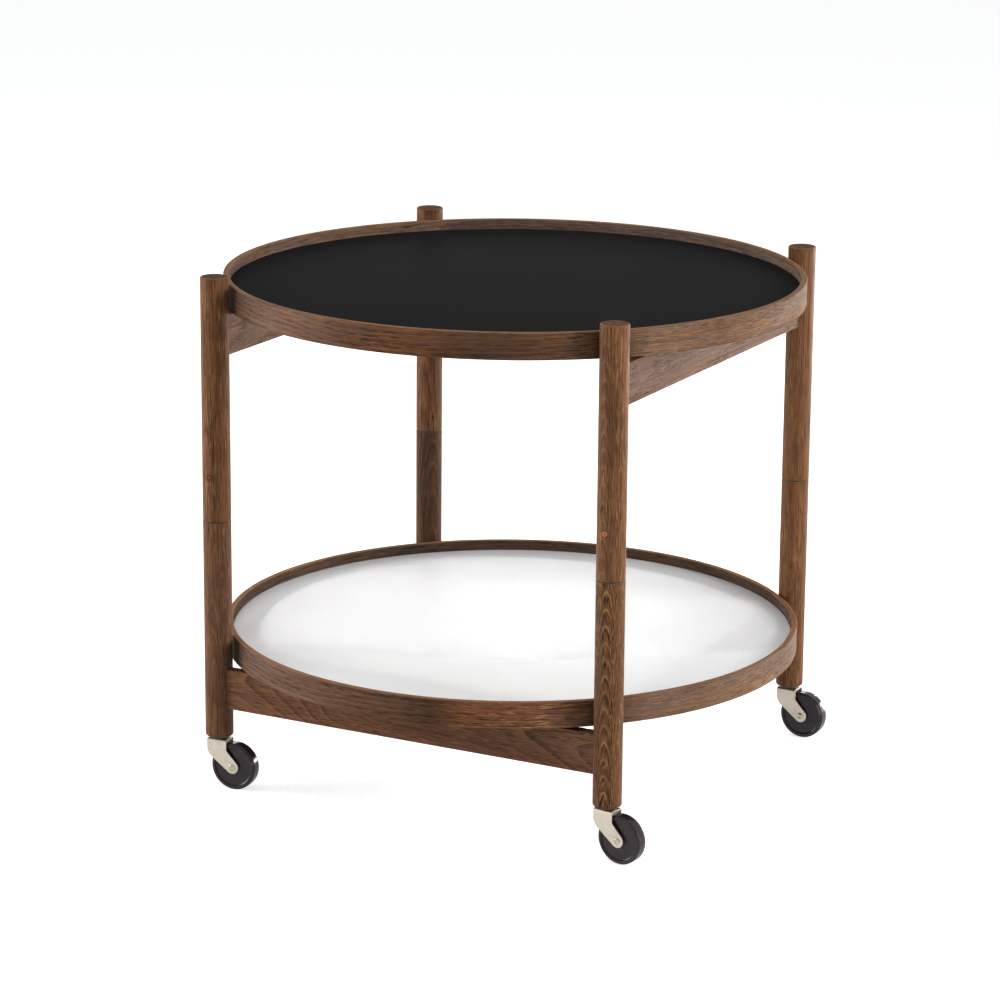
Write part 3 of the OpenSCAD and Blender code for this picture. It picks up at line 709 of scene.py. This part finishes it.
fork = fork_mesh()
SIDEWAYS = Matrix.Rotation(math.radians(90), 4, "X")
# Half of the wheel, from the bore over the hub, the dish and the raised ring to the middle of the tread
half_wheel = arc([(2.55, 6.8), (6.5, 6.8), (6.5, 5.1), (20.2, 4.9), (20.9, 6.5), (22.9, 6.5), (23.35, 5.5),
                  (WHEEL_R, 5.5), (WHEEL_R, 0.35)], [0, 0.5, 0.7, 0.9, 0.5, 0.7, 0.2, 1.3, 0])
half_wheel.append((WHEEL_R - 0.25, 0))
wheel = half_wheel + mirrored(half_wheel[:-1])
half_rivet = arc([(2.5, 8.5), (3.5, 8.5), (3.45, 8.95), (2.7, 9.6), (1.75, 9.88), (1.3, 9.3), (0.5, 9.15),
                  (0, 9.15)], [0, 0.1, 0.2, 0.6, 0.2, 0.3, 0.2, 0])
rivet = mirrored(half_rivet) + half_rivet
socket = arc([(STEM_R + 0.05, LEG_BOTTOM_Z - FLANGE_T), (RACE_R, LEG_BOTTOM_Z - FLANGE_T),
              (RACE_R, LEG_BOTTOM_Z), (SOCKET_R, LEG_BOTTOM_Z), (SOCKET_R, LEG_BOTTOM_Z + SOCKET_L),
              (STEM_R + 0.05, LEG_BOTTOM_Z + SOCKET_L)], [0, 0.3, 0.3, 0, 0, 0])
race = box_outline(STEM_R, RACE_R, PLATE_TOP, PLATE_TOP + RACE_T, 0, 0.45, 0.45, 0)
washer = box_outline(PIN_R, LEG_R - WASHER_INSET, SEAM_LOW, SEAM_LOW + WASHER_T, 0, 0.25, 0.25, 0)

for place, (sx, sy) in PLACES.items():
    upright = Matrix.Translation((sx * LEG_AXIS * MM, sy * LEG_AXIS * MM, 0))
    turned = upright @ Matrix.Rotation(math.radians(TURNS[place]), 4, "Z")
    axle = turned @ Matrix.Translation((TRAIL * MM, 0, AXLE_Z * MM)) @ SIDEWAYS
    mesh = lathe("wheel_" + place, wheel, axle, 128, closed=True)
    show(mesh, "moulded", "caster_wheel_" + place, wheel_plastic)
    mesh = lathe("rivet_" + place, rivet, axle, 48)
    show(mesh, "peened", "caster_axle_" + place, rivet_metal)
    mesh = fork.copy()
    mesh.transform(turned)
    soften(show(mesh, "pressed", "caster_fork_" + place, nickel, sharp=30), 0.22, 2, 28)
    mesh = lathe("socket_" + place, socket, upright, 64, closed=True)
    show(mesh, "turned", "caster_socket_" + place, zinc)
    mesh = lathe("race_" + place, race, upright, 64, closed=True)
    show(mesh, "moulded", "caster_race_" + place, nylon)
    mesh = lathe("washer_" + place, washer, upright, 64, closed=True)
    show(mesh, "cut", "pivot_washer_" + place, nylon)
    finish("pivot_pin_" + place, zinc)
    finish("pivot_bush_" + place, brass)
    finish("caster_stem_" + place, zinc)


# Floor, lights and camera

def looked_at(tree):
    """1 where a camera, a mirror or a glass looks at a surface, and 0 for the light that it throws."""
    rays = tree.nodes.new("ShaderNodeLightPath")
    value = rays.outputs["Is Camera Ray"]
    for ray in ("Is Glossy Ray", "Is Transmission Ray"):
        either = tree.nodes.new("ShaderNodeMath")
        either.operation = "MAXIMUM"
        tree.links.new(value, either.inputs[0])
        tree.links.new(rays.outputs[ray], either.inputs[1])
        value = either.outputs[0]
    return value


# Some light of its own, for what looks at the floor, takes it to white and leaves the table's soft shadow
FLOOR_GLOW = 0.61
FLOOR_HALF = 30
shader = Shader("floor", Roughness=0.9, Specular_IOR_Level=0.0, Base_Color=(0.92, 0.92, 0.92, 1),
                Emission_Color=(1, 1, 1, 1))
shader.set("Emission Strength", shader.times(looked_at(shader.tree), FLOOR_GLOW))
floor_mesh = bpy.data.meshes.new("floor")
floor_mesh.from_pydata([(-FLOOR_HALF, -FLOOR_HALF, 0), (FLOOR_HALF, -FLOOR_HALF, 0),
                        (FLOOR_HALF, FLOOR_HALF, 0), (-FLOOR_HALF, FLOOR_HALF, 0)], [], [(0, 1, 2, 3)])
floor = bpy.data.objects.new("floor", floor_mesh)
floor_mesh.materials.append(shader.material)
bpy.context.scene.collection.objects.link(floor)

world = bpy.data.worlds.new("studio")
bpy.context.scene.world = world
world.use_nodes = True
tree = world.node_tree
tree.nodes.clear()
blend = tree.nodes.new("ShaderNodeMixShader")
tree.links.new(looked_at(tree), blend.inputs[0])
# The light on the object, and the white that is seen behind it
for i, (colour, strength) in enumerate((((0.97, 0.985, 1, 1), 0.38), ((1, 1, 1, 1), 1.0)), start=1):
    background = tree.nodes.new("ShaderNodeBackground")
    background.inputs["Color"].default_value = colour
    background.inputs["Strength"].default_value = strength
    tree.links.new(background.outputs[0], blend.inputs[i])
tree.links.new(blend.outputs[0], tree.nodes.new("ShaderNodeOutputWorld").inputs[0])


def softbox(name, position, aim, size, power, colour=(1, 1, 1), spread=180):
    """A rectangular lamp in metres and watts that the camera doesn't see; spread is its beam in degrees."""
    light = bpy.data.lights.new(name, "AREA")
    light.shape, light.size, light.size_y = "RECTANGLE", *size
    light.energy, light.color, light.spread = power, colour, math.radians(spread)
    obj = bpy.data.objects.new(name, light)
    obj.location = position
    obj.rotation_euler = (Vector(aim) - Vector(position)).to_track_quat("-Z", "Y").to_euler()
    obj.visible_camera = False
    bpy.context.scene.collection.objects.link(obj)


MIDDLE = (0, 0, 0.3)
softbox("key", (2.7, 0.2, 0.95), MIDDLE, (1.4, 1.8), 66, (1, 0.985, 0.965))
softbox("top", (-0.2, -0.4, 2.8), MIDDLE, (2.2, 2.2), 18)
softbox("behind", (-1.25, 2.4, 1.0), MIDDLE, (1.4, 0.8), 12)
softbox("edge", (1.3, 2.4, 0.35), MIDDLE, (0.5, 0.9), 60)
softbox("left", (-2.6, -1.32, 0.6), MIDDLE, (1.3, 1.4), 76)
# Two narrow beams between the legs, crossing on the lower tray, which brighten its middle
softbox("beam_behind", (0.0, 3.1, 1.1), (0, 0, 0.15), (0.38, 0.3), 0.33, spread=6)
softbox("beam_left", (-3.1, 0.02, 1.1), (0, -0.01, 0.15), (0.34, 0.3), 0.34, spread=5.6)

# The camera that was fitted to the photograph, without its shift and turned to aim at the table
CAMERA_PLACE = (1.7158, -3.2951, 1.2705)
AZIMUTH, ELEVATION, ROLL = map(math.radians, (27.717, 14.855, 0.488))
FOCAL_PIXELS, FRAME_PIXELS, SENSOR_WIDTH = 3672.1, 1000, 36
camera_data = bpy.data.cameras.new("camera")
camera = bpy.data.objects.new("camera", camera_data)
bpy.context.scene.collection.objects.link(camera)
camera_data.sensor_width = SENSOR_WIDTH
camera_data.lens = FOCAL_PIXELS * SENSOR_WIDTH / FRAME_PIXELS
camera_data.clip_start, camera_data.clip_end = 0.1, 100
back = Vector((math.sin(AZIMUTH) * math.cos(ELEVATION), -math.cos(AZIMUTH) * math.cos(ELEVATION),
               math.sin(ELEVATION)))
side = (-back).cross(Vector(AXES["z"])).normalized()
up = side.cross(-back)
right = math.cos(ROLL) * side + math.sin(ROLL) * up
top = math.cos(ROLL) * up - math.sin(ROLL) * side
camera.matrix_world = Matrix.Translation(CAMERA_PLACE) @ Matrix((right, top, back)).transposed().to_4x4()
bpy.context.scene.camera = camera
bpy.context.scene.view_settings.view_transform = "Standard"

bpy.context.view_layer.update()
